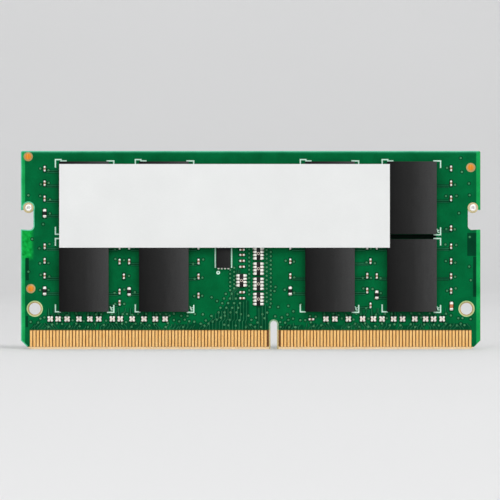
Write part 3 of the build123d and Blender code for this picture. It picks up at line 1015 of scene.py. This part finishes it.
def make_ink(name, dark, light):
    """Screened ink, a little patchy, with what lies under it showing through."""
    material, tree, shader = new_finish(name)
    patchy = grain(tree, 0.16, 3.0)
    colour = ramp(tree, patchy, [(0.3, dark), (0.7, light)])
    tree.links.new(colour, shader.inputs["Base Color"])
    shader.inputs["Roughness"].default_value = 0.6
    shader.inputs["Specular IOR Level"].default_value = 0.2
    emboss(tree, shader, patchy, 0.006)
    return material


ink = bmesh.new()
for number, (low, high) in enumerate(chips, start=1):
    # the brackets lie a hair nearer the middle of the board than the packages do
    nearer = 0.1 if low.x < 0 else -0.06
    left, right = low.x - BRACKET_OUT + nearer, high.x + BRACKET_OUT + nearer
    foot, head = low.z - BRACKET_UP, high.z + BRACKET_UP
    left_foot = foot + 0.08
    bracket = [(left, left_foot + LOWER_ARM), (left, left_foot), (left + 0.85, left_foot)]
    draw_line(ink, bracket, STROKE, INK)
    draw_line(ink, [(right, foot + LOWER_ARM), (right, foot), (right - ARM, foot)], STROKE, INK)
    draw_line(ink, [(right, head - ARM), (right, head), (right - 1.1, head)], STROKE, INK)
    if number <= 4:
        step = head + 0.2
        draw_line(ink, [(left, head - 1.0), (left, step), (left + 0.95, step)], STROKE, INK)
        draw_line(ink, [(left + 0.75, head), (left + 1.7, head)], STROKE, INK)
    else:
        draw_line(ink, [(left, head - 1.1), (left, head), (left + ARM, head)], STROKE, INK)
    # a small chevron inside the lower right bracket
    bend = right - 0.38
    crook = foot + 0.36
    draw_line(ink, [(right - 0.55, foot + 0.9), (bend, crook), (right - 0.16, crook)], CHEVRON, INK)
    draw_line(ink, [(bend, foot + 0.62), (right - 0.18, foot + 0.74)], CHEVRON, INK)
for x in (spd_low.x - 0.18, spd_high.x + 0.18):
    draw_line(ink, [(x, spd_low.z), (x, spd_high.z)], STROKE, INK)
dot_section = [(0.1, SUNK), (0.1, INK), (0.28, INK), (0.29, SUNK)]
draw_round(ink, spd_x - 0.8, spd_low.z - 0.73, dot_section, steps=24, wraps=True)
ink_white = make_ink("legend_ink", tone(190, 236, 212), tone(224, 252, 238))
add_piece("printed_legend", ink, ink_white, "legend_ink", "legend_front")

array_marks = bmesh.new()
for at, size in boxes_in("address_array_bodies"):
    height = size.y - 0.014
    mark = [(0.13, height), (0.13, height + 0.012), (0.22, height + 0.012), (0.22, height)]
    draw_round(array_marks, at.x, at.z, mark, steps=20, wraps=True)
ink_cream = make_ink("array_ink", tone(196, 180, 166), tone(228, 214, 202))
add_piece("array_marks", array_marks, ink_cream, "legend_ink")

# ---------------------------------------------------------------- floor, light and camera
# A pale seamless sweep, wide soft lamps and a long lens square to the chips. Lengths here are metres.

WALL_AT = 1.8
WALL_HIGH = 4.0
BEND = 0.6
REACH = 6.0  # of the floor, sideways and towards the camera

sweep = bmesh.new()
path = [(-REACH, 0.0)]
for degrees in range(0, 91, 6):
    turn = radians(degrees)
    path.append((WALL_AT - BEND + BEND * sin(turn), BEND - BEND * cos(turn)))
path.append((WALL_AT, WALL_HIGH))
strips = [[sweep.verts.new((x, y, z)) for x in (-REACH, REACH)] for y, z in path]
for a, b in zip(strips, strips[1:]):
    sweep.faces.new((a[0], a[1], b[1], b[0]))
floor_mesh = bpy.data.meshes.new("pale_floor")
sweep.to_mesh(floor_mesh)
sweep.free()
floor_mesh.shade_smooth()
floor_finish, tree, shader = new_finish("pale_floor")
haze = add_node(tree, "ShaderNodeTexNoise", {"Vector": place_on(tree), "Scale": 3.0})
paper = ramp(tree, haze.outputs["Fac"], [(0.3, tone(226, 226, 226)), (0.7, tone(230, 230, 230))])
tree.links.new(paper, shader.inputs["Base Color"])
shader.inputs["Roughness"].default_value = 0.7
floor_mesh.materials.append(floor_finish)
floor = bpy.data.objects.new("pale_floor", floor_mesh)
bpy.context.scene.collection.objects.link(floor)


def add_lamp(name, at, aim, size, power):
    """A square soft lamp."""
    light = bpy.data.lights.new(name, "AREA")
    light.shape = "SQUARE"
    light.size = size
    light.energy = power
    lamp = bpy.data.objects.new(name, light)
    lamp.location = at
    lamp.rotation_euler = (Vector(aim) - Vector(at)).to_track_quat("-Z", "Y").to_euler()
    bpy.context.scene.collection.objects.link(lamp)


middle = (0, 0, 0.015)
add_lamp("key_lamp", (0.9, -1.4, 1.5), middle, 0.9, 19.0)
add_lamp("front_lamp", (-0.5, -2.4, 1.3), middle, 2.4, 26.5)
add_lamp("ceiling_lamp", (0.0, 0.6, 2.6), (0, 0.6, 0), 2.5, 20.0)

world = bpy.data.worlds.new("studio")
world.use_nodes = True
world.node_tree.nodes["Background"].inputs["Color"].default_value = (0.97, 0.98, 1.0, 1)
world.node_tree.nodes["Background"].inputs["Strength"].default_value = 0.34
bpy.context.scene.world = world
bpy.context.scene.view_settings.view_transform = "Standard"

lens = bpy.data.cameras.new("camera")
lens.sensor_width = 36.0
lens.lens = 380.0
lens.clip_start = 0.01
lens.clip_end = 20.0
camera = bpy.data.objects.new("camera", lens)
camera.location = (-0.0001, -0.8, 0.0150)
camera.rotation_euler = (pi / 2, 0, 0)
bpy.context.scene.collection.objects.link(camera)
bpy.context.scene.camera = camera
